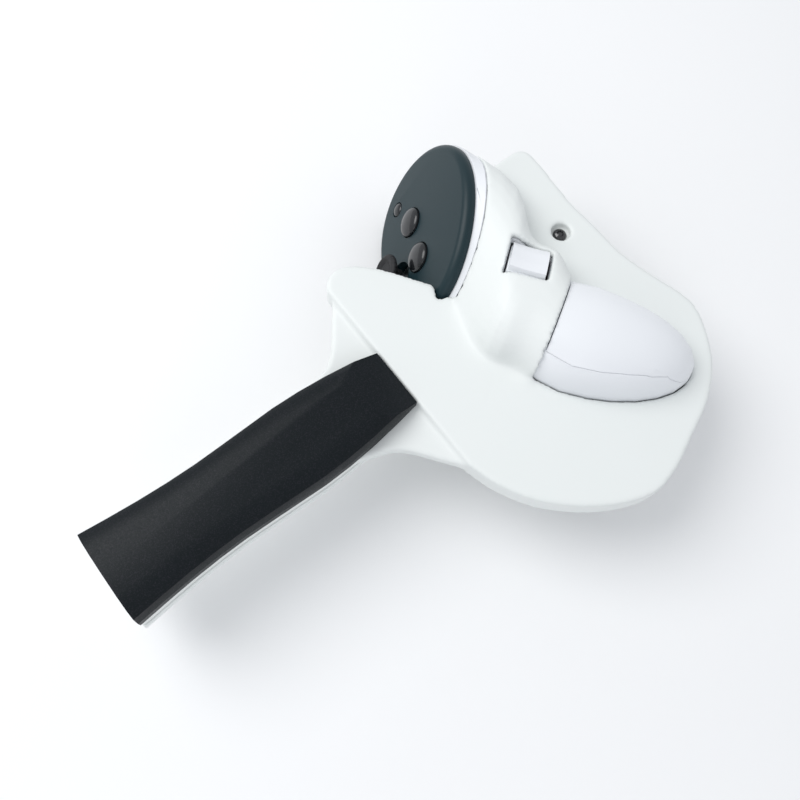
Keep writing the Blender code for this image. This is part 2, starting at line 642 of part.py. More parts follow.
# Thumbstick: a cap on a stem, carried by two crossed gimbals in a sliding cradle that clicks down
stick_place = face_matrix(STICK)
STICK_PIVOT = -7.6
pivot_place = stick_place @ Matrix.Translation((0, 0, STICK_PIVOT))
cap_profile = [(0, STICK_HEIGHT - 0.7), (3.6, STICK_HEIGHT - 0.6), (5.0, STICK_HEIGHT),
               (STICK_RADIUS, STICK_HEIGHT - 0.7), (STICK_RADIUS, STICK_HEIGHT - 2.0),
               (4.6, STICK_HEIGHT - 3.4), (2.6, STICK_HEIGHT - 4.6), (2.4, 0.4), (1.3, 0.4),
               (1.3, 3.0), (0, 3.0)]
add("thumbstick_cap", turned("thumbstick_cap", cap_profile, 22), "black", stick_place)
stem_profile = [(0, 2.7), (1.0, 2.7), (1.0, STICK_PIVOT + 1.4)]
stem_profile += [(1.8 * math.sin(a), STICK_PIVOT + 1.8 * math.cos(a)) for a in steps(0.75, 2.5, 6)]
stem_profile += [(0, STICK_PIVOT - 1.8)]
stem = add("thumbstick_stem", turned("thumbstick_stem", stem_profile, 16), "shell", stick_place)
LOCAL_X = Matrix.Rotation(math.pi / 2, 4, "Y")
LOCAL_Y = Matrix.Rotation(math.pi / 2, 4, "X")
STUB = 0.5


def gimbal_ring(name, inner, outer, half_height, finish):
    """A round ring about the stick's pivot."""
    made = add(name, cylinder(name, outer, -half_height, half_height, 20), finish, pivot_place)
    bore(made, name + "_room", inner, 9, pivot_place)
    return made


stubs = cylinder("stem_stubs", STUB, -2.9, 2.9, 12)
boolean(stem, add("stem_stubs", stubs, matrix=pivot_place @ LOCAL_Y), "UNION", "MANIFOLD")
gimbal = gimbal_ring("thumbstick_gimbal", 2.3, 3.2, 0.9, "shell")
for side in (-1, 1):
    stub = cylinder(f"gimbal_stub_{side}", STUB, 2.8, 4.1, 12)
    turned_place = pivot_place @ Matrix.Rotation(side * math.pi / 2, 4, "Y")
    boolean(gimbal, add(f"gimbal_stub_{side}", stub, matrix=turned_place), "UNION", "MANIFOLD")
bore(gimbal, "gimbal_eye", STUB + EYE_GAP, 8, pivot_place @ LOCAL_Y)
yoke = gimbal_ring("thumbstick_yoke", 3.5, 4.4, 1.1, "black")
bore(yoke, "yoke_eye", STUB + EYE_GAP, 8, pivot_place @ LOCAL_X)
module = add("thumbstick_module", cylinder("thumbstick_module", 5.2, -2.7, 1.5, 20), "steel", pivot_place)
module_room = add("module_room", cylinder("module_room", 4.7, -2.35, 9, 20), matrix=pivot_place)
boolean(module, module_room, solver="MANIFOLD")
bore(module, "module_eye", 2.4, 9, pivot_place)

# ---------------------------------------------------------------- inside the head
def egg_plate(name, inset, low, high, finish, centre=FACE_CENTRE, shorter=0.0):
    """A plate with the face's outline, drawn in and set below the face."""
    rings = [egg(FACE_HALF - inset - shorter, FACE_BREADTH - inset, z, centre) for z in (low, high)]
    return add(name, loft(name, rings), finish)


inner_frame = egg_plate("inner_frame", 8.0, -8.4, -7.2, "shell")
frame_gap = add("frame_gap", cylinder("frame_gap", 6.2, -12, 4, 24), matrix=face_matrix(STICK))
boolean(inner_frame, frame_gap, solver="MANIFOLD")
lever_gap = box("lever_gap", (-6, -7, -9.5), (26, 16, 9.5))
boolean(inner_frame, add("lever_gap", lever_gap, matrix=trigger_place), solver="MANIFOLD")
egg_plate("circuit_board", 13.0, -14.8, -13.8, "board", (-21.5, -5.0), 3.5)
for name, place, radius in CONTROLS:
    clear = add(name + "_switch_hole", cylinder(name + "_switch_hole", 2.0, -12, 4, 16),
                matrix=face_matrix(place))
    boolean(inner_frame, clear, solver="MANIFOLD")
    pad = [(0, -6.9), (1.1, -6.9), (1.5, -7.3), (1.6, -8.8), (2.6, -8.8), (2.6, -9.6), (0, -9.6)]
    add(name + "_dome", turned(name + "_dome", pad, 12), "black", face_matrix(place))

LED_ANGLES = (20, 75, 140, 215)                  # round the face's outline, in degrees
for number, angle in enumerate(LED_ANGLES, 1):
    turn_by = math.radians(angle)
    rim_point = on_face(FACE_CENTRE, -5.4)
    rim_point += -egg_tail * (FACE_HALF - 6.6) * math.cos(turn_by)
    rim_point += egg_side * (FACE_BREADTH - 6.6) * math.sin(turn_by)
    led = cylinder(f"tracking_led_{number}", 1.2, -0.8, 0.9, 12, 0.8)
    led_place = Matrix.Translation(rim_point) @ face_matrix((0, 0)).to_3x3().to_4x4()
    add(f"tracking_led_{number}", led, "glossy", led_place)

# ---------------------------------------------------------------- inside the grip
BATTERY_FRONT = on_grip(25.5, 30.4, 4.0)
BATTERY_BACK = on_grip(75.6, 35.6, 4.2)
battery_axis = (BATTERY_BACK - BATTERY_FRONT).normalized()
battery_place = axis_matrix(BATTERY_FRONT, battery_axis)
battery_profile = [(0, BATTERY_LENGTH), (2.7, BATTERY_LENGTH), (2.7, BATTERY_LENGTH - 1.2),
                   (BATTERY_RADIUS - 0.6, BATTERY_LENGTH - 1.2), (BATTERY_RADIUS, BATTERY_LENGTH - 1.9),
                   (BATTERY_RADIUS, 0.6), (BATTERY_RADIUS - 0.6, 0), (0, 0)]
add("battery_cell", turned("battery_cell", battery_profile, 24), "battery", battery_place)
add("battery_contact",
    box("battery_contact", (-3.4, -3.4, BATTERY_LENGTH + GAP), (3.4, 3.4, BATTERY_LENGTH + 0.7)),
    "steel", battery_place)
coil("battery_spring", 3.0, 0.4, 3, 5.0, "steel", battery_place @ Matrix.Translation((0, 0, -5.3)))
add("haptic_motor", cylinder("haptic_motor", 4.0, -4.0, 4.0, 24), "steel",
    axis_matrix(on_grip(14.0, 51.0, -7.5), HANDLE_AXIS))
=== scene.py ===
"""The finished look of a motion controller clamped in a table-tennis-bat holder."""

import json
import math

import bmesh
import bpy
import numpy as np
from bpy.props import FloatProperty, FloatVectorProperty, IntProperty, PointerProperty
from mathutils import Matrix, Vector
from mathutils.bvhtree import BVHTree

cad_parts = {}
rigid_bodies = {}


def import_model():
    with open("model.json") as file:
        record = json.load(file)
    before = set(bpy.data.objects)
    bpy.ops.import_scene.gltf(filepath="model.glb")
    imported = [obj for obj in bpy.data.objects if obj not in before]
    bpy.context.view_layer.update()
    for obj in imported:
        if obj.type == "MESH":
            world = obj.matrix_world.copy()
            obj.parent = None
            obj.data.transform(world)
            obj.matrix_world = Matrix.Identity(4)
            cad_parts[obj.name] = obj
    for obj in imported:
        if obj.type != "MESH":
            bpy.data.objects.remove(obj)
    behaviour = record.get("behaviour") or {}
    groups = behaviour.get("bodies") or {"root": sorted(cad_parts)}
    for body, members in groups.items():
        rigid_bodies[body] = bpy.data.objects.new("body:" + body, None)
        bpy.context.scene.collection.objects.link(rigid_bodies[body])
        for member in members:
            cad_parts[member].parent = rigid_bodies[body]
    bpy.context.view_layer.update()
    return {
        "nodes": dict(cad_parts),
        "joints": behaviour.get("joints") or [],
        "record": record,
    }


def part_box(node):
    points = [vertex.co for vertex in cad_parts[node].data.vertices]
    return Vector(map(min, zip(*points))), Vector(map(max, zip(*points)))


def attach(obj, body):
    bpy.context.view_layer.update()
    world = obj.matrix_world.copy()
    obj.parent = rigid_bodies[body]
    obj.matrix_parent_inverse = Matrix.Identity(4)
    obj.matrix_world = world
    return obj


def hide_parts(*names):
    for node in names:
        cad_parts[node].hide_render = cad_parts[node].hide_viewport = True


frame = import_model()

bl_info = {
    "name": "Motion Controller in a Bat Holder",
    "version": (1, 0, 0),
    "blender": (4, 5, 0),
    "location": "3D View > Sidebar > Controller",
    "description": "Builds the holder, the controller and their finishes round the fixed frame",
    "category": "Object",
}

JOINTS = {joint["name"]: joint for joint in frame["joints"]}
BODY_OF = {node: body for body, nodes in frame["record"]["behaviour"]["bodies"].items() for node in nodes}
MM = 0.001

# Directions of the face and of the grip, read from the joints
FACE_OUT = -Vector(JOINTS["button_a_press"]["axis"])
FACE_SIDE = Vector(JOINTS["stick_side_tilt"]["axis"])
FACE_UP = Vector(JOINTS["stick_long_tilt"]["axis"])
GRIP_AXIS = Vector(JOINTS["battery_door_slide"]["axis"])
FACE_TURN = math.radians(8.2)
FACE_TAPER = 0.12
egg_up = FACE_UP * math.cos(FACE_TURN) - FACE_SIDE * math.sin(FACE_TURN)
egg_side = FACE_SIDE * math.cos(FACE_TURN) + FACE_UP * math.sin(FACE_TURN)


# ---------------------------------------------------------------- settings
class HolderSettings(bpy.types.PropertyGroup):
    """Sizes and colours of the holder and its handle"""
    voxel: FloatProperty(name="Voxel", description="Cell size of the blade's surface", default=0.0008,
                         subtype="DISTANCE")
    fillet_rounds: IntProperty(name="Fillet rounds", description="How far the sleeve flows into the blade",
                               default=34)
    edge: FloatProperty(name="Edge", description="Rounding of the handle's edges", default=0.0005,
                        subtype="DISTANCE")
    white: FloatVectorProperty(name="White", description="Colour of the printed holder",
                               default=(0.83, 0.85, 0.838), subtype="COLOR")
    dark: FloatVectorProperty(name="Dark", description="Colour of the upper grip scale",
                              default=(0.0022, 0.0050, 0.0066), subtype="COLOR")


class ControllerSettings(bpy.types.PropertyGroup):
    """Sizes and colours of the controller"""
    edge: FloatProperty(name="Edge", description="Rounding of the shells' edges", default=0.00015,
                        subtype="DISTANCE")
    face_edge: FloatProperty(name="Face edge", description="Rounding round the face plate", default=0.0028,
                             subtype="DISTANCE")
    shell: FloatVectorProperty(name="Shell", description="Colour of the shells",
                               default=(0.86, 0.875, 0.90), subtype="COLOR")
    face: FloatVectorProperty(name="Face", description="Colour of the face plate",
                              default=(0.006, 0.022, 0.028), subtype="COLOR")
    button: FloatVectorProperty(name="Button", description="Colour of the polished buttons",
                                default=(0.010, 0.011, 0.013), subtype="COLOR")


class StageSettings(bpy.types.PropertyGroup):
    """Floor, light and camera"""
    floor: FloatVectorProperty(name="Floor", description="Colour of the floor", default=(0.97, 0.97, 0.97),
                               subtype="COLOR")
    key: FloatProperty(name="Key", description="Power of the large light overhead", default=4.2, unit="POWER")
    fill: FloatProperty(name="Fill", description="Power of the light at the side", default=0.6, unit="POWER")
    lens: FloatProperty(name="Lens", description="Focal length in millimetres", default=39.15)


# ---------------------------------------------------------------- shader groups
def new_group(name, inputs, outputs):
    group = bpy.data.node_groups.new(name, "ShaderNodeTree")
    for label, kind, value in inputs:
        socket = group.interface.new_socket(label, in_out="INPUT", socket_type=kind)
        socket.default_value = value
    for label, kind in outputs:
        group.interface.new_socket(label, in_out="OUTPUT", socket_type=kind)
    return group, group.nodes.new("NodeGroupInput"), group.nodes.new("NodeGroupOutput")


def grain_group():
    """Cloudy tone, changing gloss and a fine moulded or printed grain."""
    group, given, result = new_group("surface_grain", [
        ("Colour", "NodeSocketColor", (0.8, 0.8, 0.8, 1)), ("Shade", "NodeSocketColor", (0.7, 0.7, 0.7, 1)),
        ("Cloud Scale", "NodeSocketFloat", 40.0), ("Grain Scale", "NodeSocketFloat", 3000.0),
        ("Grain Depth", "NodeSocketFloat", 0.00002), ("Gloss Low", "NodeSocketFloat", 0.4),
        ("Gloss High", "NodeSocketFloat", 0.5)],
        [("Colour", "NodeSocketColor"), ("Roughness", "NodeSocketFloat"), ("Normal", "NodeSocketVector")])
    link = group.links.new
    place = group.nodes.new("ShaderNodeTexCoord")
    cloud = group.nodes.new("ShaderNodeTexNoise")
    cloud.inputs["Detail"].default_value = 4.0
    grain = group.nodes.new("ShaderNodeTexNoise")
    grain.inputs["Detail"].default_value = 3.0
    for texture, scale in ((cloud, "Cloud Scale"), (grain, "Grain Scale")):
        link(place.outputs["Object"], texture.inputs["Vector"])
        link(given.outputs[scale], texture.inputs["Scale"])
    tone = group.nodes.new("ShaderNodeMix")
    tone.data_type = "RGBA"
    link(cloud.outputs["Fac"], tone.inputs["Factor"])
    link(given.outputs["Colour"], tone.inputs["A"])
    link(given.outputs["Shade"], tone.inputs["B"])
    link(tone.outputs["Result"], result.inputs["Colour"])
    gloss = group.nodes.new("ShaderNodeMapRange")
    gloss.inputs["From Min"].default_value = 0.3
    gloss.inputs["From Max"].default_value = 0.7
    link(grain.outputs["Fac"], gloss.inputs["Value"])
    link(given.outputs["Gloss Low"], gloss.inputs["To Min"])
    link(given.outputs["Gloss High"], gloss.inputs["To Max"])
    link(gloss.outputs["Result"], result.inputs["Roughness"])
    bump = group.nodes.new("ShaderNodeBump")
    bump.inputs["Strength"].default_value = 0.6
    link(grain.outputs["Fac"], bump.inputs["Height"])
    link(given.outputs["Grain Depth"], bump.inputs["Distance"])
    link(bump.outputs["Normal"], result.inputs["Normal"])
    return group


def sparkle_group():
    """Sparse bright flecks, as in metallic paint."""
    group, given, result = new_group("sparkle_flecks", [
        ("Colour", "NodeSocketColor", (0, 0, 0, 1)), ("Fleck", "NodeSocketColor", (0.5, 0.5, 0.5, 1)),
        ("Scale", "NodeSocketFloat", 4200.0)], [("Colour", "NodeSocketColor")])
    link = group.links.new
    place = group.nodes.new("ShaderNodeTexCoord")
    cells = group.nodes.new("ShaderNodeTexVoronoi")
    link(place.outputs["Object"], cells.inputs["Vector"])
    link(given.outputs["Scale"], cells.inputs["Scale"])
    pick = group.nodes.new("ShaderNodeSeparateColor")
    link(cells.outputs["Color"], pick.inputs["Color"])
    sparse = group.nodes.new("ShaderNodeMapRange")
    sparse.inputs["From Min"].default_value = 0.60
    sparse.inputs["From Max"].default_value = 1.0
    sparse.inputs["To Max"].default_value = 0.55
    link(pick.outputs["Red"], sparse.inputs["Value"])
    tone = group.nodes.new("ShaderNodeMix")
    tone.data_type = "RGBA"
    link(sparse.outputs["Result"], tone.inputs["Factor"])
    link(given.outputs["Colour"], tone.inputs["A"])
    link(given.outputs["Fleck"], tone.inputs["B"])
    link(tone.outputs["Result"], result.inputs["Colour"])
    return group


def shared(name, build):
    return bpy.data.node_groups.get(name) or build()


# ---------------------------------------------------------------- finishes
def finish(name, colour, shade=None, cloud=40.0, grain=3000.0, depth=0.02, gloss=(0.4, 0.5), metallic=0.0,
           coat=0.0, fleck=None, specular=0.5):
    """A material from the shared grain; depth is in millimetres."""
    made = bpy.data.materials.get(name)
    if made:
        return made
    made = bpy.data.materials.new(name)
    made.use_nodes = True
    nodes, link = made.node_tree.nodes, made.node_tree.links.new
    shader = nodes["Principled BSDF"]
    surface = nodes.new("ShaderNodeGroup")
    surface.node_tree = shared("surface_grain", grain_group)
    shade = shade or tuple(0.93 * c for c in colour)
    for label, value in (("Colour", (*colour, 1)), ("Shade", (*shade, 1)), ("Cloud Scale", cloud),
                         ("Grain Scale", grain), ("Grain Depth", depth * MM), ("Gloss Low", gloss[0]),
                         ("Gloss High", gloss[1])):
        surface.inputs[label].default_value = value
    tone = surface.outputs["Colour"]
    if fleck:
        flecks = nodes.new("ShaderNodeGroup")
        flecks.node_tree = shared("sparkle_flecks", sparkle_group)
        flecks.inputs["Fleck"].default_value = (*fleck, 1)
        link(tone, flecks.inputs["Colour"])
        tone = flecks.outputs["Colour"]
    link(tone, shader.inputs["Base Color"])
    link(surface.outputs["Roughness"], shader.inputs["Roughness"])
    link(surface.outputs["Normal"], shader.inputs["Normal"])
    shader.inputs["Metallic"].default_value = metallic
    shader.inputs["Coat Weight"].default_value = coat
    shader.inputs["Coat Roughness"].default_value = 0.06
    shader.inputs["Specular IOR Level"].default_value = specular
    return made


def printed_white():
    white = tuple(bpy.context.scene.holder.white)
    return finish("printed_white", white, (white[0] * 0.97, white[1] * 0.985, white[2] * 0.975), 30.0, 2200.0,
                  0.02, (0.42, 0.52))


def shell_satin():
    shell = tuple(bpy.context.scene.controller.shell)
    return finish("shell_satin", shell, tuple(0.985 * c for c in shell), 25.0, 5000.0, 0.006, (0.30, 0.38))


def handle_slate():
    dark = tuple(bpy.context.scene.holder.dark)
    return finish("handle_slate", dark, tuple(1.25 * c for c in dark), 60.0, 2400.0, 0.05, (0.34, 0.52),
                  fleck=(0.022, 0.020, 0.028), specular=0.20)


def face_slate():
    colour = tuple(bpy.context.scene.controller.face)
    return finish("face_slate", colour, tuple(1.15 * c for c in colour), 50.0, 4200.0, 0.012, (0.36, 0.46),
                  specular=0.34)


def polished_black():
    return finish("polished_black", tuple(bpy.context.scene.controller.button), None, 200.0, 6000.0, 0.004,
                  (0.16, 0.24), coat=0.25)


def stick_rubber():
    return finish("stick_rubber", (0.012, 0.012, 0.014), None, 150.0, 4500.0, 0.05, (0.55, 0.72))


def bright_steel():
    return finish("bright_steel", (0.55, 0.55, 0.57), None, 90.0, 3500.0, 0.01, (0.22, 0.36), metallic=1.0)


def black_enamel():
    return finish("black_enamel", (0.008, 0.008, 0.010), None, 200.0, 6000.0, 0.003, (0.08, 0.14), coat=1.0)


def inner_grey():
    return finish("inner_grey", (0.20, 0.21, 0.22), None, 60.0, 3200.0, 0.03, (0.5, 0.62))


def solder_mask():
    return finish("solder_mask", (0.012, 0.12, 0.05), (0.02, 0.17, 0.07), 700.0, 5000.0, 0.01, (0.28, 0.4),
                  coat=0.4)


def cell_jacket():
    return finish("cell_jacket", (0.05, 0.10, 0.22), (0.04, 0.08, 0.17), 80.0, 5000.0, 0.005, (0.22, 0.3),
                  coat=0.5)


def silicone():
    return finish("silicone", (0.07, 0.07, 0.075), None, 90.0, 3600.0, 0.02, (0.6, 0.72))


def infrared_lens():
    return finish("infrared_lens", (0.016, 0.008, 0.014), None, 300.0, 6000.0, 0.003, (0.08, 0.12), coat=1.0)


# ---------------------------------------------------------------- making pieces
def points_of(node):
    mesh = frame["nodes"][node].data
    flat = np.empty(len(mesh.vertices) * 3)
    mesh.vertices.foreach_get("co", flat)
    return np.unique(np.round(flat.reshape(-1, 3), 7), axis=0)


def axis_place(node):
    """A frame on a turned node's axis: local Z out of the face, the origin level with its highest point."""
    points = points_of(node)
    middle = Vector(points.mean(axis=0))
    top = (points @ np.array(FACE_OUT)).max()
    origin = middle + FACE_OUT * (top - middle.dot(FACE_OUT))
    turn = Matrix((FACE_SIDE, FACE_OUT.cross(FACE_SIDE), FACE_OUT)).transposed()
    return Matrix.Translation(origin) @ turn.to_4x4()


def widest(node, place):
    """The greatest distance of a node's points from a frame's Z axis."""
    inverse = np.array(place.inverted())
    local = points_of(node) @ inverse[:3, :3].T + inverse[:3, 3]
    return float(np.hypot(local[:, 0], local[:, 1]).max())


def merged_copy(node):
    """A frame node's shape with its loose triangles joined and its flat sides made whole."""
    bm = bmesh.new()
    bm.from_mesh(frame["nodes"][node].data)
    bmesh.ops.remove_doubles(bm, verts=bm.verts, dist=2e-6)
    bmesh.ops.dissolve_limit(bm, angle_limit=math.radians(0.4), verts=bm.verts, edges=bm.edges)
    return bm


def show(name, mesh, material, node, sharp=38):
    """Links a mesh as the piece that stands for a frame node."""
    mesh.shade_smooth()
    mesh.set_sharp_from_angle(angle=math.radians(sharp))
    mesh.materials.clear()
    mesh.materials.append(material)
    made = bpy.data.objects.new(name, mesh)
    bpy.context.scene.collection.objects.link(made)
    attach(made, BODY_OF[node])
    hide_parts(node)
    return made


def mesh_from(bm, name):
    mesh = bpy.data.meshes.new(name)
    bm.to_mesh(mesh)
    bm.free()
    return mesh


def soften(obj, width, segments=3, angle=40):
    """Rounds a piece's edges."""
    made = obj.modifiers.new("edges", "BEVEL")
    made.width = width
    made.segments = segments
    made.limit_method = "ANGLE"
    made.angle_limit = math.radians(angle)
    made.harden_normals = True


def skin(node, material, edge, sharp=38):
    """The node's own shape with rounded edges."""
    made = show(node + "_skin", mesh_from(merged_copy(node), node + "_skin"), material, node, sharp)
    if edge:
        soften(made, edge)
    return made


def recolour(node, material):
    frame["nodes"][node].material_slots[0].material = material


def spun(profile, place, count=64):
    """A profile of (radius, height) pairs in millimetres, turned about a frame's Z axis."""
    bm = bmesh.new()
    verts = [bm.verts.new((r * MM, 0, z * MM)) for r, z in profile]
    edges = [bm.edges.new(pair) for pair in zip(verts, verts[1:])]
    bmesh.ops.spin(bm, geom=verts + edges, cent=(0, 0, 0), axis=(0, 0, 1), angle=2 * math.pi, steps=count,
                   use_merge=True)
    bmesh.ops.remove_doubles(bm, verts=bm.verts, dist=1e-7)
    bmesh.ops.recalc_face_normals(bm, faces=bm.faces)
    bmesh.ops.transform(bm, matrix=place, verts=bm.verts)
    return bm


def arc(radius_x, radius_z, centre, first, last, count):
    """Points of an elliptic arc from one angle to another, measured from straight up."""
    angles = [first + (last - first) * i / (count - 1) for i in range(count)]
    return [(centre[0] + radius_x * math.sin(a), centre[1] + radius_z * math.cos(a)) for a in angles]


def applied(obj):
    """The mesh that an object's modifiers make; the object is removed."""
    graph = bpy.context.evaluated_depsgraph_get()
    mesh = bpy.data.meshes.new_from_object(obj.evaluated_get(graph))
    bpy.data.objects.remove(obj)
    return mesh


def loose_object(name, mesh):
    made = bpy.data.objects.new(name, mesh)
    bpy.context.scene.collection.objects.link(made)
    return made


# ---------------------------------------------------------------- the holder's blade
def near_any(points, nodes, reach):
    """Which points lie within reach of any of the nodes."""
    bm = bmesh.new()
    for node in nodes:
        bm.from_mesh(frame["nodes"][node].data)
    tree = BVHTree.FromBMesh(bm)
    bm.free()
    return np.array([tree.find_nearest(Vector(p), reach)[0] is not None for p in points])


def flow(mesh, rounds):
    """Fills the hollow line between sleeve and blade, and eases the rest by a hair."""
    count = len(mesh.vertices)
    ends = np.empty(len(mesh.edges) * 2, np.int64)
    mesh.edges.foreach_get("vertices", ends)
    ends = ends.reshape(-1, 2)
    degree = np.bincount(ends.ravel(), minlength=count)[:, None]
    place = np.empty(count * 3)
    mesh.vertices.foreach_get("co", place)
    place = place.reshape(-1, 3)

    def pull():
        total = np.zeros_like(place)
        np.add.at(total, ends[:, 0], place[ends[:, 1]])
        np.add.at(total, ends[:, 1], place[ends[:, 0]])
        return total / degree - place

    for strength in (0.5, -0.52) * 3:
        place += strength * pull()
    low_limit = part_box("battery_door")[0].z - 2.3 * MM
    able = place[:, 2] > low_limit - 0.4 * MM
    able[able] = ~near_any(place[able], ("grip_shell", "head_rim", "face_plate", "battery_door"), 1.25 * MM)
    able[able] = ~near_any(place[able], ("grip_button", "cover_screw_top"), 1.9 * MM)
    normal = np.empty(count * 3)
    for step in range(rounds):
        if step % 5 == 0:
            mesh.vertices.foreach_set("co", place.ravel())
            mesh.update()
            mesh.vertex_normals.foreach_get("vector", normal)
            facing = normal.reshape(-1, 3)
        move = pull()
        out = (move * facing).sum(axis=1)
        gain = np.where(able & (out > 0), 0.6 * out, 0.0)
        place += facing * gain[:, None]
    mesh.vertices.foreach_set("co", place.ravel())
    mesh.update()


class HOLDER_OT_blade(bpy.types.Operator):
    """Build the printed blade and its sleeve as one flowing surface"""
    bl_idname = "holder.blade"
    bl_label = "Blade"

    def execute(self, context):
        settings = context.scene.holder
        rough = loose_object("blade_rough", mesh_from(merged_copy("bat_blade"), "blade_rough"))
        cells = rough.modifiers.new("cells", "REMESH")
        cells.mode = "VOXEL"
        cells.voxel_size = settings.voxel * 1.0
        mesh = applied(rough)
        flow(mesh, settings.fillet_rounds)
        show("blade_surface", mesh, printed_white(), "bat_blade", 180)
        return {"FINISHED"}


class HOLDER_OT_cradle(bpy.types.Operator):
    """Build the cradle under the blade and its screws"""
    bl_idname = "holder.cradle"
    bl_label = "Cradle"

    def execute(self, context):
        skin("bat_cradle", printed_white(), context.scene.holder.edge)
        recolour("cradle_screw", bright_steel())
        low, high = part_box("cover_screw_top")
        head_top = Matrix.Translation(((low.x + high.x) / 2, (low.y + high.y) / 2, high.z))
        radius = (high.x - low.x) / 2 / MM
        profile = [(0, -0.75)] + arc(0.95, 0.25, (0, -0.75), 0.6, 1.5, 3)
        profile += arc(radius - 0.15, 1.45, (0, -1.5), 0.5, math.pi / 2 - 0.12, 9)
        profile += [(radius - 0.1, -1.7), (1.4, -1.7), (1.4, -10.6), (0.5, -11.6), (0, -11.6)]
        show("cover_screw_head", mesh_from(spun(profile, head_top, 40), "cover_screw_head"), black_enamel(),
             "cover_screw_top", 50)
        return {"FINISHED"}


class HOLDER_OT_handle(bpy.types.Operator):
    """Build the dark upper scale, the white lower scale and the grip screws"""
    bl_idname = "holder.handle"
    bl_label = "Handle"

    def execute(self, context):
        edge = context.scene.holder.edge
        skin("grip_scale_upper", handle_slate(), edge, 34)
        skin("grip_scale_lower", printed_white(), edge, 34)
        for number in (1, 2):
            recolour(f"grip_screw_{number}", bright_steel())
        return {"FINISHED"}


# ---------------------------------------------------------------- the controller
class CONTROLLER_OT_shells(bpy.types.Operator):
    """Build the grip shell, the battery door, the head rim and the trigger"""
    bl_idname = "controller.shells"
    bl_label = "Shells"

    def execute(self, context):
        edge = context.scene.controller.edge
        for node in ("grip_shell", "battery_door", "head_rim", "trigger"):
            skin(node, shell_satin(), edge)
        return {"FINISHED"}


def carve(bm, name, cutters):
    """Cuts turned cutters out of a shape."""
    blank = loose_object(name, mesh_from(bm, name))
    tools = [loose_object(f"{name}_tool_{i}", mesh_from(tool, f"{name}_tool"))
             for i, tool in enumerate(cutters)]
    for tool in tools:
        cut = blank.modifiers.new("cut", "BOOLEAN")
        cut.object = tool
        cut.operation = "DIFFERENCE"
    mesh = applied(blank)
    for tool in tools:
        bpy.data.objects.remove(tool)
    return mesh


class CONTROLLER_OT_face(bpy.types.Operator):
    """Build the egg-shaped face plate with its round holes"""
    bl_idname = "controller.face"
    bl_label = "Face"

    def execute(self, context):
        settings = context.scene.controller
        points = points_of("face_plate")
        along, across, height = (points @ np.array(axis) for axis in (egg_up, egg_side, FACE_OUT))
        half_long = (along.max() - along.min()) / 2
        half_wide = (across.max() - across.min()) / 2 / (1 + FACE_TAPER ** 2 / 2)
        middle = egg_up * (along.max() + along.min()) / 2 + egg_side * (across.max() + across.min()) / 2
        place = Matrix.Translation(middle + FACE_OUT * height.max()) @ Matrix(
            (egg_up, egg_side, FACE_OUT)).transposed().to_4x4()
        if place.determinant() < 0:
            place = place @ Matrix.Scale(-1, 4, Vector((0, 1, 0)))
        thick = height.max() - height.min()
        bm = bmesh.new()
        bmesh.ops.create_circle(bm, cap_ends=True, segments=144, radius=1.0)
        for vert in bm.verts:
            vert.co.y *= half_wide * (1 + FACE_TAPER * vert.co.x)
            vert.co.x *= half_long
        top = bm.faces[:]
        lower = bmesh.ops.extrude_face_region(bm, geom=top)["geom"]
        lower = [item for item in lower if isinstance(item, bmesh.types.BMVert)]
        bmesh.ops.translate(bm, vec=(0, 0, -thick), verts=lower)
        rim = [edge for edge in bm.edges if all(abs(vert.co.z) < 1e-6 for vert in edge.verts)]
        bmesh.ops.bevel(bm, geom=rim, offset=settings.face_edge, offset_type="OFFSET", affect="EDGES",
                        segments=8, profile=0.5, material=-1, clamp_overlap=True)
        bmesh.ops.transform(bm, matrix=place, verts=bm.verts)
        bmesh.ops.recalc_face_normals(bm, faces=bm.faces)
        cutters = []
        for node in ("button_a", "button_b", "button_menu"):
            hole = axis_place(node)
            radius = (widest(node, hole) / MM) - 0.8
            cutters.append(spun([(0, 3), (radius, 3), (radius, -12), (0, -12)], hole, 64))
        cutters.append(spun([(0, 1), (5.6, 1), (5.6, -14), (0, -14)], axis_place("thumbstick_cap"), 64))
        show("face_surface", carve(bm, "face_blank", cutters), face_slate(), "face_plate", 40)
        return {"FINISHED"}


class CONTROLLER_OT_buttons(bpy.types.Operator):
    """Build the domed face buttons"""
    bl_idname = "controller.buttons"
    bl_label = "Buttons"

    def execute(self, context):
        for node in ("button_a", "button_b", "button_menu"):
            place = axis_place(node)
            flange = widest(node, place) / MM - 0.05
            radius = flange - 1.1
            low = points_of(node) @ np.array(FACE_OUT)
            depth = (low.max() - low.min()) / MM
            crown = min(1.7, radius * 0.4)
            profile = arc(radius, crown, (0, -crown), 0.0, math.pi / 2, 16)
            profile += [(radius, 1.4 - depth), (flange, 1.2 - depth), (flange, 0.1 - depth), (0, 0.1 - depth)]
            cap = mesh_from(spun(profile, place, 72), node + "_dome_cap")
            show(node + "_dome_cap", cap, polished_black(), node, 40)
        return {"FINISHED"}


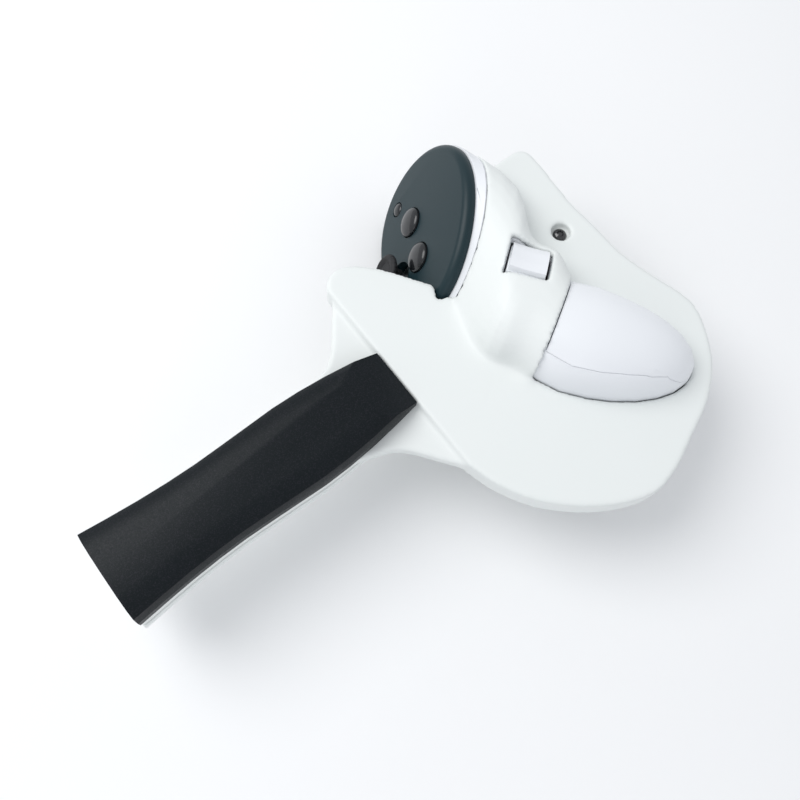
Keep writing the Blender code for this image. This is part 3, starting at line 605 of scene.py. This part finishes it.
class CONTROLLER_OT_thumbstick(bpy.types.Operator):
    """Build the thumbstick's dished cap with a knurled rim, and finish its gimbals"""
    bl_idname = "controller.thumbstick"
    bl_label = "Thumbstick"

    def execute(self, context):
        place = axis_place("thumbstick_cap")
        radius = widest("thumbstick_cap", place) / MM
        profile = [(0, -0.9)] + arc(3.4, 0.25, (0, -1.05), 0.5, math.pi / 2, 5)
        profile += [(4.3, -0.45), (5.0, -0.05), (5.6, -0.15), (radius - 0.25, -0.6), (radius, -1.0),
                    (radius, -1.7), (radius - 0.3, -2.1), (4.6, -3.4), (2.6, -4.6), (2.4, -7.0), (1.3, -7.0),
                    (1.3, -4.4), (0, -4.4)]
        bm = spun(profile, Matrix.Identity(4), 96)
        for vert in bm.verts:
            out = vert.co.xy.length
            if out > (radius - 0.35) * MM and math.cos(24 * math.atan2(vert.co.y, vert.co.x)) < -0.5:
                vert.co.xy *= 1 - 0.28 * MM / out
        bmesh.ops.transform(bm, matrix=place, verts=bm.verts)
        show("thumbstick_pad", mesh_from(bm, "thumbstick_pad"), stick_rubber(), "thumbstick_cap", 50)
        recolour("thumbstick_stem", inner_grey())
        recolour("thumbstick_gimbal", inner_grey())
        recolour("thumbstick_yoke", silicone())
        recolour("thumbstick_module", bright_steel())
        return {"FINISHED"}


class CONTROLLER_OT_grip_button(bpy.types.Operator):
    """Build the grip button with its creased, dished top"""
    bl_idname = "controller.grip_button"
    bl_label = "Grip button"

    def execute(self, context):
        pin = JOINTS["grip_squeeze"]
        side = -Vector(pin["axis"])
        rise = side.cross(GRIP_AXIS).normalized()
        run = rise.cross(side).normalized()
        if rise.z < 0:
            rise, side = -rise, -side
        place = Matrix.Translation(Vector(pin["pos_m"])) @ Matrix((run, side, rise)).transposed().to_4x4()
        inverse = np.array(place.inverted())
        local = points_of("grip_button") @ inverse[:3, :3].T + inverse[:3, 3]
        block = local[local[:, 2] > 5.2 * MM]
        inset = np.array((0.3, 0.3, 0.0)) * MM
        low, high = block.min(axis=0) + inset, block.max(axis=0) - inset
        bm = bmesh.new()
        bmesh.ops.create_cube(bm, size=1.0)
        bmesh.ops.subdivide_edges(bm, edges=bm.edges, cuts=14, use_grid_fill=True)
        crest = 0.36
        for vert in bm.verts:
            u, w, h = vert.co * 2
            fall = 2.6 if w * self.lean(local, low, high) > 0 else 1.2
            slope = fall * MM * max(0.0, abs(w) - crest) ** 1.5
            dish = 0.5 * MM * (1 - u * u) * (1 - 0.4 * abs(w))
            top = high[2] - slope - dish
            vert.co = ((low[0] + high[0]) / 2 + u * (high[0] - low[0]) / 2,
                       (low[1] + high[1]) / 2 + w * (high[1] - low[1]) / 2,
                       low[2] + (top - low[2]) * (h + 1) / 2)
        bmesh.ops.transform(bm, matrix=place, verts=bm.verts)
        bmesh.ops.recalc_face_normals(bm, faces=bm.faces)
        arm = merged_copy("grip_button")
        cut = place @ Vector((0, 0, low[2] + 0.4 * MM))
        whole = arm.verts[:] + arm.edges[:] + arm.faces[:]
        bmesh.ops.bisect_plane(arm, geom=whole, plane_co=cut, plane_no=rise, clear_outer=True)
        bmesh.ops.holes_fill(arm, edges=[edge for edge in arm.edges if edge.is_boundary])
        bmesh.ops.triangulate(arm, faces=[face for face in arm.faces if len(face.verts) > 4])
        lower = mesh_from(arm, "grip_arm")
        bm.from_mesh(lower)
        bpy.data.meshes.remove(lower)
        made = show("grip_button_block", mesh_from(bm, "grip_button_block"), shell_satin(), "grip_button", 40)
        soften(made, 0.0006, 4, 50)
        return {"FINISHED"}

    @staticmethod
    def lean(local, low, high):
        """The sign of the local Y side that falls away further, from where the crest lies."""
        crest = local[local[:, 2] > high[2] - 0.3 * MM][:, 1].mean()
        return 1 if crest < (low[1] + high[1]) / 2 else -1


class CONTROLLER_OT_insides(bpy.types.Operator):
    """Finish the pieces inside the controller"""
    bl_idname = "controller.insides"
    bl_label = "Insides"

    def execute(self, context):
        looks = {
            inner_grey: ("inner_frame", "grip_bracket"),
            solder_mask: ("circuit_board",),
            cell_jacket: ("battery_cell",),
            silicone: ("button_a_dome", "button_b_dome", "button_menu_dome"),
            infrared_lens: ("tracking_led_1", "tracking_led_2", "tracking_led_3", "tracking_led_4"),
            bright_steel: ("battery_contact", "battery_spring", "haptic_motor", "trigger_pin",
                           "trigger_spring", "grip_pin", "grip_spring"),
        }
        for look, nodes in looks.items():
            for node in nodes:
                recolour(node, look())
        return {"FINISHED"}


# ---------------------------------------------------------------- stage
CAMERA_PLACE = Vector((-0.06898, -0.0684, 0.29425))
CAMERA_LOOK = Vector((0.252, 0.242, -0.937))
CAMERA_RIGHT = Vector((0.790, -0.611, 0.054))


def area_light(name, size, power, place, target, colour=(1, 1, 1)):
    light = bpy.data.lights.new(name, "AREA")
    light.shape = "DISK"
    light.size = size
    light.energy = power
    light.color = colour
    made = bpy.data.objects.new(name, light)
    made.location = place
    made.rotation_euler = (Vector(target) - Vector(place)).to_track_quat("-Z", "Y").to_euler()
    bpy.context.scene.collection.objects.link(made)


class STAGE_OT_studio(bpy.types.Operator):
    """Set the floor, the soft lights and the camera"""
    bl_idname = "stage.studio"
    bl_label = "Studio"

    def execute(self, context):
        settings = context.scene.stage
        bm = bmesh.new()
        bmesh.ops.create_grid(bm, x_segments=2, y_segments=2, size=3.0)
        floor = loose_object("floor", mesh_from(bm, "floor"))
        matt = finish("pale_floor", tuple(settings.floor), None, 2.0, 300.0, 0.0, (0.8, 0.9))
        floor.data.materials.append(matt)
        world = bpy.data.worlds.new("studio")
        world.use_nodes = True
        world.node_tree.nodes["Background"].inputs["Color"].default_value = (0.93, 0.96, 1.0, 1)
        world.node_tree.nodes["Background"].inputs["Strength"].default_value = 0.68
        context.scene.world = world
        area_light("key", 0.7, settings.key, (-0.25, 0.45, 0.75), (0, 0, 0.03))
        area_light("fill", 0.5, settings.fill, (-0.6, -0.5, 0.5), (0, 0, 0.03), (0.93, 0.92, 1.0))
        look = CAMERA_LOOK.normalized()
        right = (CAMERA_RIGHT - look * CAMERA_RIGHT.dot(look)).normalized()
        turn = Matrix((right, right.cross(look), -look)).transposed().to_4x4()
        lens = bpy.data.cameras.new("camera")
        lens.sensor_width = 36
        lens.lens = settings.lens
        lens.clip_start = 0.01
        camera = bpy.data.objects.new("camera", lens)
        camera.matrix_world = Matrix.Translation(CAMERA_PLACE) @ turn
        context.scene.collection.objects.link(camera)
        context.scene.camera = camera
        context.scene.view_settings.view_transform = "Standard"
        return {"FINISHED"}


# ---------------------------------------------------------------- panel and registration
BUILD_STEPS = (STAGE_OT_studio, HOLDER_OT_blade, HOLDER_OT_cradle, HOLDER_OT_handle, CONTROLLER_OT_shells,
               CONTROLLER_OT_face, CONTROLLER_OT_buttons, CONTROLLER_OT_thumbstick, CONTROLLER_OT_grip_button,
               CONTROLLER_OT_insides)


class CONTROLLER_PT_panel(bpy.types.Panel):
    """Lists the build steps"""
    bl_label = "Motion controller"
    bl_space_type = "VIEW_3D"
    bl_region_type = "UI"
    bl_category = "Controller"

    def draw(self, context):
        for step in BUILD_STEPS:
            self.layout.operator(step.bl_idname)


SETTINGS = (("holder", HolderSettings), ("controller", ControllerSettings), ("stage", StageSettings))
CLASSES = tuple(kind for _, kind in SETTINGS) + BUILD_STEPS + (CONTROLLER_PT_panel,)


def register():
    for kind in CLASSES:
        bpy.utils.register_class(kind)
    for name, kind in SETTINGS:
        setattr(bpy.types.Scene, name, PointerProperty(type=kind))


def unregister():
    for name, _ in SETTINGS:
        delattr(bpy.types.Scene, name)
    for kind in reversed(CLASSES):
        bpy.utils.unregister_class(kind)


def main():
    register()
    for old in list(bpy.data.objects):
        if old.name in ("Cube", "Light", "Camera"):
            bpy.data.objects.remove(old)
    bpy.ops.stage.studio()
    bpy.ops.holder.blade()
    bpy.ops.holder.cradle()
    bpy.ops.holder.handle()
    bpy.ops.controller.shells()
    bpy.ops.controller.face()
    bpy.ops.controller.buttons()
    bpy.ops.controller.thumbstick()
    bpy.ops.controller.grip_button()
    bpy.ops.controller.insides()


if __name__ == "__main__":
    main()
